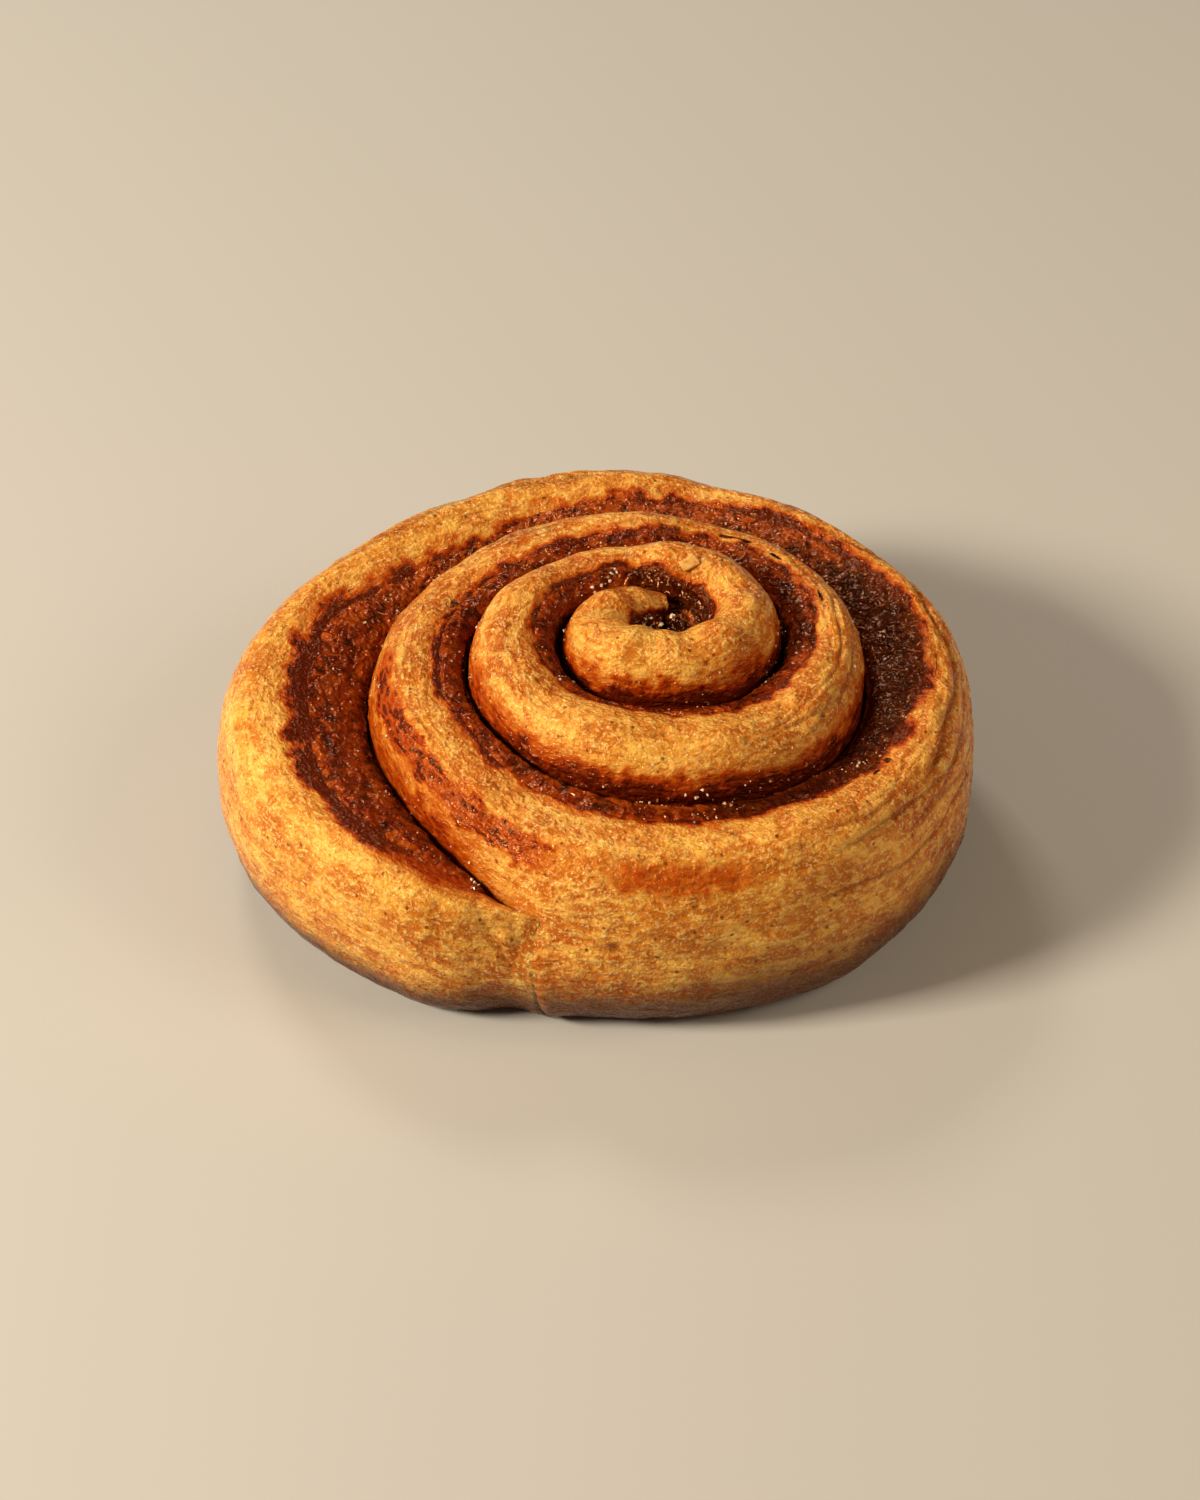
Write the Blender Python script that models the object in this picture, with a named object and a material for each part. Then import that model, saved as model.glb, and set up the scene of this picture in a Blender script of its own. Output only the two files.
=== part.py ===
"""A baked cinnamon roll, 110 mm across.

One long strip of dough is wound into a flat spiral of three and a half turns, and a sheet of
cinnamon filling is wound in with it, on the inward side of each turn. The strip is followed by
its angle: it starts at the tip in the eye of the spiral and runs anticlockwise, seen from above,
to the tail at the front left. Angles count on past 360 degrees, so that the turns of one place
on the roll are 360 degrees apart.

Lengths in the tables are in millimetres, and the scene is in metres. The roll stands on z = 0.
"""

import bmesh
import bpy
import numpy as np

MM = 0.001
TURN = 360.0

# The strip from its tip to its tail, in degrees, and the steps that both solids share, so that
# their facets lie side by side in every turn.
TIP = 75.0
TAIL = 1329.0
STEP = 6.0
EIGHTH = 45.0

# From one turn's face to the face of the turn round it, where the filling lies, and less where
# the tail is pressed on. SLIT is the room on each side of the filling.
BETWEEN_TURNS = 1.7
BETWEEN_AT_TAIL = 0.6
PRESSED_FROM = 935.0
PRESSED_BY = 978.0
SLIT = 0.35

# Radius from the eye to the strip's outward face at each eighth of a turn, which is the groove
# while another turn lies round it, and the rim of the roll after that. Each row is one turn.
OUTWARD_RADIUS = (
    # right, back right, back, back left, left, front left, front, front right
    (3.0, 4.8, 6.6, 9.8, 13.6, 14.6, 14.2, 15.6),
    (17.4, 17.0, 16.0, 20.5, 27.0, 28.2, 29.2, 30.4),
    (29.2, 28.2, 28.6, 35.0, 41.6, 42.4, 46.6, 46.5),
    (46.2, 43.0, 47.6, 52.2, 63.9, 57.4, 44.5, 44.5),
)
# Just past the tail's end the side swells out to lie level with it: height of the swell, its
# middle and its half length in degrees.
LEVEL_SWELL = (1.8, 972.0, 15.0)
# The same for the inward face of the first turn, round the eye, one turn before its angle.
EYE_RADIUS = (
    (-285.0, 2.2), (-270.0, 2.3), (-225.0, 3.2), (-180.0, 3.6), (-135.0, 2.8), (-90.0, 2.4),
    (-45.0, 4.2), (0.0, 7.0), (45.0, 7.6),
)

# Height of the crown of the strip, and of the bottom of the groove outside it.
CROWN_HEIGHT = (
    (75.0, 36.5), (105.0, 38.0), (145.0, 39.0), (180.0, 39.7), (270.0, 41.4), (360.0, 41.0),
    (450.0, 40.4), (540.0, 38.6), (630.0, 37.4), (720.0, 36.5), (810.0, 36.0), (900.0, 33.5),
    (990.0, 30.4), (1080.0, 30.0), (1170.0, 30.4), (1260.0, 28.0), (1305.0, 25.0), (1329.0, 20.5),
)
GROOVE_HEIGHT = (
    (-285.0, 34.0), (0.0, 34.5), (75.0, 35.0), (135.0, 34.5), (180.0, 33.5), (225.0, 32.5),
    (360.0, 32.0), (540.0, 31.0), (630.0, 29.5), (720.0, 26.5), (810.0, 26.0), (900.0, 22.5),
    (945.0, 22.0), (960.0, 20.0), (975.0, 17.0),
)
# Where the crown lies across the strip, from its inward face (0) to its outward face (1).
CREST = (
    (75.0, 0.5), (540.0, 0.5), (720.0, 0.55), (900.0, 0.5), (990.0, 0.45), (1080.0, 0.6),
    (1170.0, 0.62), (1260.0, 0.66), (1329.0, 0.6),
)
# How full the shoulders of the crown are: 2 is round, less is nearer to a straight slope.
INWARD_FULLNESS = (
    (75.0, 2.0), (360.0, 2.0), (720.0, 1.9), (900.0, 1.9), (1000.0, 1.6), (1080.0, 1.35),
    (1260.0, 1.3), (1329.0, 1.5),
)
OUTWARD_FULLNESS = 2.25

# The side of the roll: the outward face is bare from here on, bulges to its widest at
# BULGE_HEIGHT and turns in below it by BARE_TUCK. A covered face stands upright, with its lower
# edge rounded by COVERED_TUCK, or by COVERED_TUCK_SHARE of the strip's thickness where it is
# thin. LEAST_FOOT is the narrowest base that the thin tail keeps.
BARE_FROM = 940.0
BARE_BY = 980.0
BULGE_HEIGHT = 13.0
BARE_TUCK = 6.5
COVERED_TUCK = 0.7
COVERED_TUCK_SHARE = 0.25
COVERED_EDGE = 1.0
LEAST_FOOT = 0.2

# The tip and the tail thin out over these angles, to this share of the strip's thickness: the
# tip with a round end, the tail like a wedge.
TIP_TAPER = 24.0
TAIL_TAPER = 20.0
END_SHARE = 0.15

# The crown and the rim swell and sink a little along the strip: height, degrees from one swell
# to the next, and where the first one is.
CROWN_SWELLS = ((0.45, 97.0, 20.0), (0.3, 41.0, 65.0))
RIM_SWELLS = ((0.35, 83.0, 10.0), (0.2, 37.0, 50.0))

# The filling: it fills the eye round its axis, passes the tip of the strip and ends where the
# tail closes over it. It keeps off the surface that the roll stands on, and climbs the slope of
# the turn round it by CLIMB of the slope's length, thinning to its edge and to its end.
FILLING_START = -279.0
FILLING_END = 951.0
CORE_RADIUS = 0.3
CORE_UNTIL = 33.0
PAST_TIP = 69.0
FILLING_FOOT = 0.6
FILLING_THICKNESS = 1.6
FILLING_EDGE = 0.5
THINNING_FROM = 900.0
END_THICKNESS = 0.3
CLIMB = (
    (-285.0, 0.35), (-90.0, 0.35), (0.0, 0.6), (75.0, 0.66), (360.0, 0.5), (540.0, 0.5),
    (630.0, 0.5), (700.0, 0.68), (900.0, 0.72), (930.0, 0.6), (951.0, 0.3),
)

# Points on each stretch of a section of the dough, from the middle of the base outwards and
# round: base, tuck, wall, outward shoulder, inward shoulder, wall, tuck, base.
DOUGH_POINTS = (1, 3, 1, 6, 6, 2, 3, 1)
# Points on the climb of a section of the filling, on its back and again on its front.
CLIMB_POINTS = 5

CRUST_COLOUR = (0.66, 0.33, 0.09, 1.0)
CRUST_ROUGHNESS = 0.55
FILLING_COLOUR = (0.13, 0.032, 0.012, 1.0)
FILLING_ROUGHNESS = 0.3

# Points of a mesh that lie closer than this are one point, in metres.
SAME_POINT = 1e-6


def smooth_at(keys, at):
    """A smooth curve through (position, value) keys, read at one or many positions."""
    places = np.array([key[0] for key in keys])
    values = np.array([key[1] for key in keys])
    slopes = np.gradient(values, places)
    at = np.clip(at, places[0], places[-1])
    i = np.clip(np.searchsorted(places, at, side="right") - 1, 0, len(places) - 2)
    width = places[i + 1] - places[i]
    t = (at - places[i]) / width
    start = (1 + 2 * t) * (1 - t) ** 2 * values[i] + t * (1 - t) ** 2 * width * slopes[i]
    end = t * t * (3 - 2 * t) * values[i + 1] - t * t * (1 - t) * width * slopes[i + 1]
    return start + end


def ease(low, high, at):
    """0 below low, 1 above high, and a smooth rise between them."""
    t = np.clip((at - low) / (high - low), 0.0, 1.0)
    return t * t * (3 - 2 * t)


def swells(waves, angle):
    """The sum of a few waves along the strip."""
    return sum(size * np.sin(2 * np.pi * (angle - first) / length) for size, length, first in waves)


def outward_radius(angle):
    """Radius of the strip's outward face before the tail thins out."""
    radii = [radius for row in OUTWARD_RADIUS for radius in row]
    keys = [(i * EIGHTH, radius) for i, radius in enumerate(radii)]
    height, middle, half = LEVEL_SWELL
    level_swell = height * np.exp(-(((angle - middle) / half) ** 2))
    rim_swells = swells(RIM_SWELLS, angle) * ease(2 * TURN, 3 * TURN, angle)
    return smooth_at(keys, angle) + rim_swells + level_swell


def between_turns(angle):
    """Room between the strip's outward face and the next turn."""
    return BETWEEN_TURNS + (BETWEEN_AT_TAIL - BETWEEN_TURNS) * ease(PRESSED_FROM, PRESSED_BY, angle)


def bareness(angle):
    """0 where the outward face is covered by the next turn, 1 where it is the roll's side."""
    return ease(BARE_FROM, BARE_BY, angle)


def end_share(angle):
    """Share of the thickness that the strip has near its two ends."""
    from_tip = np.clip((angle - TIP) / TIP_TAPER, 0.0, 1.0)
    from_tail = np.clip((TAIL - angle) / TAIL_TAPER, 0.0, 1.0)
    round_tip = np.sqrt(1 - (1 - from_tip) ** 2)
    wedge_tail = 1 - (1 - from_tail) ** 2
    return END_SHARE + (1 - END_SHARE) * round_tip * wedge_tail


def strip_at(angle):
    """The measures of the strip's section at each angle, as columns."""
    before = angle - TURN
    round_eye = smooth_at(EYE_RADIUS + ((TIP, outward_radius(TIP) + BETWEEN_TURNS),), before)
    round_turn = outward_radius(before) + between_turns(before)
    at = {"inward": np.where(before < TIP, round_eye, round_turn)}
    at["outward"] = at["inward"] + (outward_radius(angle) - at["inward"]) * end_share(angle)
    bare, bare_before = bareness(angle), bareness(before)
    groove = smooth_at(GROOVE_HEIGHT, angle)
    at["crown"] = smooth_at(CROWN_HEIGHT, angle) + swells(CROWN_SWELLS, angle)
    at["outward_foot"] = groove + (BULGE_HEIGHT - groove) * bare
    at["inward_foot"] = smooth_at(GROOVE_HEIGHT, before)
    at["outward_edge"] = COVERED_EDGE + (BULGE_HEIGHT - COVERED_EDGE) * bare
    at["inward_edge"] = COVERED_EDGE + (BULGE_HEIGHT - COVERED_EDGE) * bare_before
    thickness = at["outward"] - at["inward"]
    covered_tuck = np.minimum(COVERED_TUCK, thickness * COVERED_TUCK_SHARE)
    at["inward_tuck"] = covered_tuck - (BARE_TUCK + covered_tuck) * bare_before
    outward_tuck = covered_tuck + (BARE_TUCK - covered_tuck) * bare
    room = thickness - at["inward_tuck"] - LEAST_FOOT
    at["outward_tuck"] = np.where(bare > 0, np.minimum(outward_tuck, room), outward_tuck)
    at["crest"] = at["inward"] + (at["outward"] - at["inward"]) * smooth_at(CREST, angle)
    at["fullness"] = smooth_at(INWARD_FULLNESS, angle)
    return {name: np.broadcast_to(value, angle.shape)[:, None] for name, value in at.items()}


def shares(count):
    """Even shares from 0 up to, but without, 1."""
    return (np.arange(count) / count)[None, :]


def arch(share, fullness):
    """A quarter of a superellipse from its side (0) to its top (1): across, and up."""
    turn = np.clip(share, 0.0, 1.0) * np.pi / 2
    return np.cos(turn) ** (2 / fullness), np.sin(turn) ** (2 / fullness)


def inward_slope(at, share):
    """A point on the inward shoulder, from its foot (0) to the crown (1): radius, height."""
    across, up = arch(share, at["fullness"])
    radius = at["crest"] + (at["inward"] - at["crest"]) * across
    return radius, at["inward_foot"] + (at["crown"] - at["inward_foot"]) * up


def outward_slope(at, share):
    """The same on the outward shoulder."""
    across, up = arch(share, OUTWARD_FULLNESS)
    radius = at["crest"] + (at["outward"] - at["crest"]) * across
    return radius, at["outward_foot"] + (at["crown"] - at["outward_foot"]) * up


def tuck(wall, inset, edge, share):
    """A point on the quarter round below a wall, from the base (0) to the wall (1)."""
    turn = share * np.pi / 2
    return wall - inset * (1 - np.sin(turn)), edge * (1 - np.cos(turn))


def dough_sections(angle):
    """Closed sections of the dough, as (angle, point, (radius, height))."""
    at = strip_at(angle)
    base, low, wall, outer, inner, inner_wall, inner_low, inner_base = map(shares, DOUGH_POINTS)
    out_foot = at["outward"] - at["outward_tuck"]
    in_foot = at["inward"] + at["inward_tuck"]
    middle = np.minimum((in_foot + at["outward"]) / 2, out_foot)
    upright = at["outward_foot"] - at["outward_edge"]
    inner_upright = at["inward_foot"] - at["inward_edge"]
    stretches = (
        (middle + (out_foot - middle) * base, 0.0),
        tuck(at["outward"], at["outward_tuck"], at["outward_edge"], low),
        (at["outward"], at["outward_edge"] + upright * wall),
        outward_slope(at, outer),
        inward_slope(at, 1 - inner),
        (at["inward"], at["inward_foot"] - inner_upright * inner_wall),
        tuck(at["inward"], -at["inward_tuck"], at["inward_edge"], 1 - inner_low),
        (in_foot + (middle - in_foot) * inner_base, 0.0),
    )
    return joined(stretches, DOUGH_POINTS, len(angle))


def joined(stretches, counts, rows):
    """Stretches of a section, each (radius, height), put one after the other."""
    parts = [
        np.stack([np.broadcast_to(values, (rows, count)) for values in stretch], axis=-1)
        for stretch, count in zip(stretches, counts)
    ]
    return np.concatenate(parts, axis=1)


def moved_in(radius, height, by):
    """A slope moved off itself, towards the eye and up, at right angles to its run."""
    run, rise = np.gradient(radius, axis=1), np.gradient(height, axis=1)
    length = np.hypot(run, rise)
    return radius - by * rise / length, height + by * run / length


def filling_sections(angle):
    """Closed sections of the filling outside the strip at each angle."""
    tip_face = strip_at(np.array([TIP]))["outward"]
    past_axis = ease(CORE_UNTIL, PAST_TIP, angle)[:, None]
    core_face = CORE_RADIUS + (tip_face + SLIT - CORE_RADIUS) * past_axis
    inner_face = np.where(angle[:, None] < TIP, core_face, strip_at(angle)["outward"] + SLIT)
    outside = strip_at(angle + TURN)
    climb_shares = np.linspace(0.0, 1.0, CLIMB_POINTS)[None, :] * smooth_at(CLIMB, angle)[:, None]
    radius, height = inward_slope(outside, climb_shares)
    thinned = 1 - ease(THINNING_FROM, FILLING_END, angle)[:, None]
    thickness = np.linspace(FILLING_THICKNESS, FILLING_EDGE, CLIMB_POINTS)[None, :]
    thickness = END_THICKNESS + (thickness - END_THICKNESS) * thinned
    back = moved_in(radius, height, SLIT)
    front = moved_in(radius, height, SLIT + thickness)
    outer_face = outside["inward"] - SLIT
    stretches = (
        (outer_face, FILLING_FOOT),
        back,
        (np.maximum(front[0], inner_face)[:, ::-1], front[1][:, ::-1]),
        (inner_face, FILLING_FOOT),
    )
    return joined(stretches, (1, CLIMB_POINTS, CLIMB_POINTS, 1), len(angle))


def placed(sections, angle):
    """Sections stood up round the eye, as points in metres."""
    turn = np.radians(angle)[:, None]
    radius, height = sections[..., 0], sections[..., 1]
    return np.stack([radius * np.cos(turn), radius * np.sin(turn), height], axis=-1) * MM


def wound_mesh(name, rings):
    """A closed mesh through rings of points along the spiral."""
    along, around = rings.shape[0] - 1, rings.shape[1]
    form = bmesh.new()
    bmesh.ops.create_grid(form, x_segments=along, y_segments=around, size=1.0)
    for vertex in form.verts:
        i = round((vertex.co.x + 1) / 2 * along)
        j = round((vertex.co.y + 1) / 2 * around)
        vertex.co = rings[i, j % around]
    bmesh.ops.remove_doubles(form, verts=form.verts, dist=SAME_POINT)
    bmesh.ops.holes_fill(form, edges=form.edges, sides=0)
    bmesh.ops.recalc_face_normals(form, faces=form.faces)
    mesh = bpy.data.meshes.new(name)
    form.to_mesh(mesh)
    form.free()
    mesh.shade_smooth()
    return mesh


def baked_material(name, colour, roughness):
    material = bpy.data.materials.new(name)
    material.use_nodes = True
    shader = material.node_tree.nodes["Principled BSDF"]
    shader.inputs["Base Color"].default_value = colour
    shader.inputs["Roughness"].default_value = roughness
    shader.inputs["Metallic"].default_value = 0.0
    return material


def add_piece(name, mesh, material, collection, shift):
    piece = bpy.data.objects.new(name, mesh)
    piece.location = shift
    mesh.materials.append(material)
    collection.objects.link(piece)
    return piece


def main():
    for old in list(bpy.data.objects):
        bpy.data.objects.remove(old)
    roll = bpy.data.collections.new("cinnamon_roll")
    bpy.context.scene.collection.children.link(roll)

    dough_angles = np.arange(TIP, TAIL + STEP / 2, STEP)
    filling_angles = np.arange(FILLING_START, FILLING_END + STEP / 2, STEP)
    dough_rings = placed(dough_sections(dough_angles), dough_angles)
    filling_rings = placed(filling_sections(filling_angles), filling_angles)

    # The middle of the roll's outline goes to the origin, and the eye lies off it.
    low = dough_rings.min(axis=(0, 1))
    high = dough_rings.max(axis=(0, 1))
    shift = (-(low[0] + high[0]) / 2, -(low[1] + high[1]) / 2, 0.0)

    crust = baked_material("baked_crust", CRUST_COLOUR, CRUST_ROUGHNESS)
    paste = baked_material("cinnamon_paste", FILLING_COLOUR, FILLING_ROUGHNESS)
    add_piece("dough", wound_mesh("dough", dough_rings), crust, roll, shift)
    add_piece("filling", wound_mesh("filling", filling_rings), paste, roll, shift)


main()
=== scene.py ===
"""A baked cinnamon roll, dressed: egg-washed crust, wet cinnamon paste and grains of sugar.

The dough is one strip wound into a flat spiral, and the paste is wound in with it. A place on
the roll is given by its angle along the strip, anticlockwise from the right as seen from above
and counting on past 360 degrees, and by how far it lies across the strip from the crown, with
the outward side positive. Lengths are in millimetres until a mesh is made.
"""

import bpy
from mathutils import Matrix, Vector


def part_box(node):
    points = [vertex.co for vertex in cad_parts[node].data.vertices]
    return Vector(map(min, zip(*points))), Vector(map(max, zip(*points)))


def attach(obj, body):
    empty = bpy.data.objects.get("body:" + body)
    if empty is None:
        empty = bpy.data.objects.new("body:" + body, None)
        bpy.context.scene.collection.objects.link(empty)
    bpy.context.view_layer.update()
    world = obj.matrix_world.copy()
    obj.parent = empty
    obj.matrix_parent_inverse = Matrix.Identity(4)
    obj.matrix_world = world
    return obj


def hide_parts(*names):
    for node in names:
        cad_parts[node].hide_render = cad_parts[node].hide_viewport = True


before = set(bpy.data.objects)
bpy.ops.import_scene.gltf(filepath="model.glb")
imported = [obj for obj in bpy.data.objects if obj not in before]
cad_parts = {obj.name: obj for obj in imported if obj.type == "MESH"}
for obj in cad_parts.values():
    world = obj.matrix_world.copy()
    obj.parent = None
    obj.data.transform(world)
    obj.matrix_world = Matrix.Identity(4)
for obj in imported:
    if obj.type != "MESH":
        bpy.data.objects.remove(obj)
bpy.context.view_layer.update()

import math
import random

import bmesh
import bpy
import numpy as np
from mathutils import Euler, Matrix, Vector, noise

MM = 0.001
TURN = 360.0
SEED = 7

# The form of the strip, as in the solids.
TIP = 75.0
TAIL = 1329.0
EIGHTH = 45.0
BETWEEN_TURNS = 1.7
BETWEEN_AT_TAIL = 0.6
PRESSED_FROM = 935.0
PRESSED_BY = 978.0
SLIT = 0.35
OUTWARD_RADIUS = (
    # right, back right, back, back left, left, front left, front, front right
    (3.0, 4.8, 6.6, 9.8, 13.6, 14.6, 14.2, 15.6),
    (17.4, 17.0, 16.0, 20.5, 27.0, 28.2, 29.2, 30.4),
    (29.2, 28.2, 28.6, 35.0, 41.6, 42.4, 46.6, 46.5),
    (46.2, 43.0, 47.6, 52.2, 63.9, 57.4, 44.5, 44.5),
)
LEVEL_SWELL = (1.8, 972.0, 15.0)
EYE_RADIUS = (
    (-285.0, 2.2), (-270.0, 2.3), (-225.0, 3.2), (-180.0, 3.6), (-135.0, 2.8), (-90.0, 2.4),
    (-45.0, 4.2), (0.0, 7.0), (45.0, 7.6),
)
CROWN_HEIGHT = (
    (75.0, 36.5), (105.0, 38.0), (145.0, 39.0), (180.0, 39.7), (270.0, 41.4), (360.0, 41.0),
    (450.0, 40.4), (540.0, 38.6), (630.0, 37.4), (720.0, 36.5), (810.0, 36.0), (900.0, 33.5),
    (990.0, 30.4), (1080.0, 30.0), (1170.0, 30.4), (1260.0, 28.0), (1305.0, 25.0), (1329.0, 20.5),
)
GROOVE_HEIGHT = (
    (-285.0, 34.0), (0.0, 34.5), (75.0, 35.0), (135.0, 34.5), (180.0, 33.5), (225.0, 32.5),
    (360.0, 32.0), (540.0, 31.0), (630.0, 29.5), (720.0, 26.5), (810.0, 26.0), (900.0, 22.5),
    (945.0, 22.0), (960.0, 20.0), (975.0, 17.0),
)
CREST = (
    (75.0, 0.5), (540.0, 0.5), (720.0, 0.55), (900.0, 0.5), (990.0, 0.45), (1080.0, 0.6),
    (1170.0, 0.62), (1260.0, 0.66), (1329.0, 0.6),
)
INWARD_FULLNESS = (
    (75.0, 2.0), (360.0, 2.0), (720.0, 1.9), (900.0, 1.9), (1000.0, 1.6), (1080.0, 1.35),
    (1260.0, 1.3), (1329.0, 1.5),
)
OUTWARD_FULLNESS = 2.25
BARE_FROM = 940.0
BARE_BY = 980.0
BULGE_HEIGHT = 13.0
BARE_TUCK = 6.5
COVERED_TUCK = 0.7
COVERED_TUCK_SHARE = 0.25
COVERED_EDGE = 1.0
LEAST_FOOT = 0.2
TIP_TAPER = 24.0
TAIL_TAPER = 20.0
END_SHARE = 0.15
CROWN_SWELLS = ((0.45, 97.0, 20.0), (0.3, 41.0, 65.0))
RIM_SWELLS = ((0.35, 83.0, 10.0), (0.2, 37.0, 50.0))

# The paste, as in the solids: it runs from the eye to where the tail closes over it. Its inner
# face stands at the core's radius and moves out to the strip's tip between two angles. It ends
# this far above the base and climbs this share of the inward slope of the next turn.
PASTE_START = -279.0
PASTE_END = 963.0
CORE_RADIUS = 0.3
CORE_UNTIL = 33.0
PAST_TIP = 69.0
PASTE_FOOT = 0.6
CLIMB = (
    (-285.0, 0.3), (-90.0, 0.2), (0.0, 0.2), (45.0, 0.22), (70.0, 0.3), (90.0, 0.42),
    (105.0, 0.5), (150.0, 0.56), (240.0, 0.5), (330.0, 0.58), (360.0, 0.66), (405.0, 0.7),
    (450.0, 0.73), (495.0, 0.66), (540.0, 0.55), (585.0, 0.5), (630.0, 0.48), (675.0, 0.5),
    (700.0, 0.63), (720.0, 0.7), (740.0, 0.74), (765.0, 0.68), (810.0, 0.63), (835.0, 0.54),
    (855.0, 0.45), (873.0, 0.47), (886.0, 0.6), (896.0, 0.59), (904.0, 0.57), (914.0, 0.59),
    (924.0, 0.64), (934.0, 0.66), (942.0, 0.56), (950.0, 0.4), (963.0, 0.3),
)

# How thick the paste lies at its foot, over how many degrees it thins out at the tail, how far its
# sheet goes on under the dough, and at most how far up; how far its back is sunk in the dough, how
# far its front may be, how far that goes into the inner turn, and how far it dips towards it.
PASTE_THICK = 0.95
PASTE_THINS_OVER = 14.0
PASTE_OVERREACH = 1.35
PASTE_HIGHEST = 0.96
BACK_SUNK = 0.3
FRONT_SUNK = 0.5
FRONT_OVERLAP = 0.3
PASTE_DIP = 0.4
# The marks of the paste: the share of the slope that counts as 1, the angles between which it is
# mashed and pale, and how dark it is in the shade at the right.
CLIMBED_SCALE = 1.6
MASHED = (700.0, 865.0)
SHADE = 0.85

# The tail is pressed into the turn beneath it by this much at its end, with a little more in the
# last degrees, and the two meet in a hollow this wide. Past the end the hollow runs out at so many
# millimetres a degree. The two faces stay this far apart before they meet.
TAIL_SINK = 1.5
TIP_SINK = 0.1
HOLLOW = 6.0
HOLLOW_FALL = 0.3
HOLLOW_APART = 0.5
BENEATH_APART = 0.6
# Low down, the last of the tail stands out by this much more.
TAIL_FOOT = 0.9
# Dough that fills the corner at the tail's end: how much, and over how many degrees.
TAIL_FILL = (0.7, 2.2)
# The degrees before and past the tail's end in which the turn beneath is fitted to it.
UNDER_TAIL = 40.0
PAST_TAIL = 25.0
# The tip of the strip in the eye lies this much farther out, over so many degrees.
TIP_SHIFT = 2.1
TIP_SHIFT_OVER = 42.0

# Fineness of the meshes: length of a step along the strip, and points round a section.
DOUGH_STEP = 0.76
DOUGH_ROUND = 108
PASTE_STEP = 0.55
# Angles that a step is measured with.
FINE_ANGLES = 6000
# Points of a section of the paste: two at the foot, then up its back, down its front, and across
# to the foot again.
PASTE_BACK = 6
PASTE_FRONT = 32
PASTE_BRIDGE = 3
FRONT_POINTS = slice(2 + PASTE_BACK, 2 + PASTE_BACK + PASTE_FRONT)

# Where the photograph was taken from. The camera aims at a point 8.5 mm left of the eye of the
# spiral and 3 mm in front of it.
EYE_FROM_TARGET = (8.5, 3.0)
TARGET_HEIGHT = 15.0
VIEW_DISTANCE = 514.0
VIEW_ELEVATION = 43.0
VIEW_LENS = 85.0
FRAME_LONG_SIDE = 36.0


def smooth_at(keys, at):
    """A smooth curve through (position, value) keys, read at many positions."""
    places = np.array([key[0] for key in keys])
    values = np.array([key[1] for key in keys])
    slopes = np.gradient(values, places)
    at = np.clip(at, places[0], places[-1])
    i = np.clip(np.searchsorted(places, at, side="right") - 1, 0, len(places) - 2)
    width = places[i + 1] - places[i]
    t = (at - places[i]) / width
    start = (1 + 2 * t) * (1 - t) ** 2 * values[i] + t * (1 - t) ** 2 * width * slopes[i]
    end = t * t * (3 - 2 * t) * values[i + 1] - t * t * (1 - t) * width * slopes[i + 1]
    return start + end


def ease(low, high, at):
    """0 below low, 1 above high, and a smooth rise between them."""
    t = np.clip((at - low) / (high - low), 0.0, 1.0)
    return t * t * (3 - 2 * t)


def window(low, high, fade, at):
    """1 between low and high, and 0 beyond a fade on each side."""
    return ease(low - fade, low, at) * (1 - ease(high, high + fade, at))


def swells(waves, angle):
    return sum(size * np.sin(2 * np.pi * (angle - first) / length) for size, length, first in waves)


def outward_radius(angle):
    radii = [radius for row in OUTWARD_RADIUS for radius in row]
    keys = [(i * EIGHTH, radius) for i, radius in enumerate(radii)]
    height, middle, half = LEVEL_SWELL
    level_swell = height * np.exp(-(((angle - middle) / half) ** 2))
    rim_swells = swells(RIM_SWELLS, angle) * ease(2 * TURN, 3 * TURN, angle)
    return smooth_at(keys, angle) + rim_swells + level_swell


def between_turns(angle):
    return BETWEEN_TURNS + (BETWEEN_AT_TAIL - BETWEEN_TURNS) * ease(PRESSED_FROM, PRESSED_BY, angle)


def end_share(angle):
    from_tip = np.clip((angle - TIP) / TIP_TAPER, 0.0, 1.0)
    from_tail = np.clip((TAIL - angle) / TAIL_TAPER, 0.0, 1.0)
    round_tip = np.sqrt(1 - (1 - from_tip) ** 2)
    wedge_tail = 1 - (1 - from_tail) ** 2
    return END_SHARE + (1 - END_SHARE) * round_tip * wedge_tail


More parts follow.
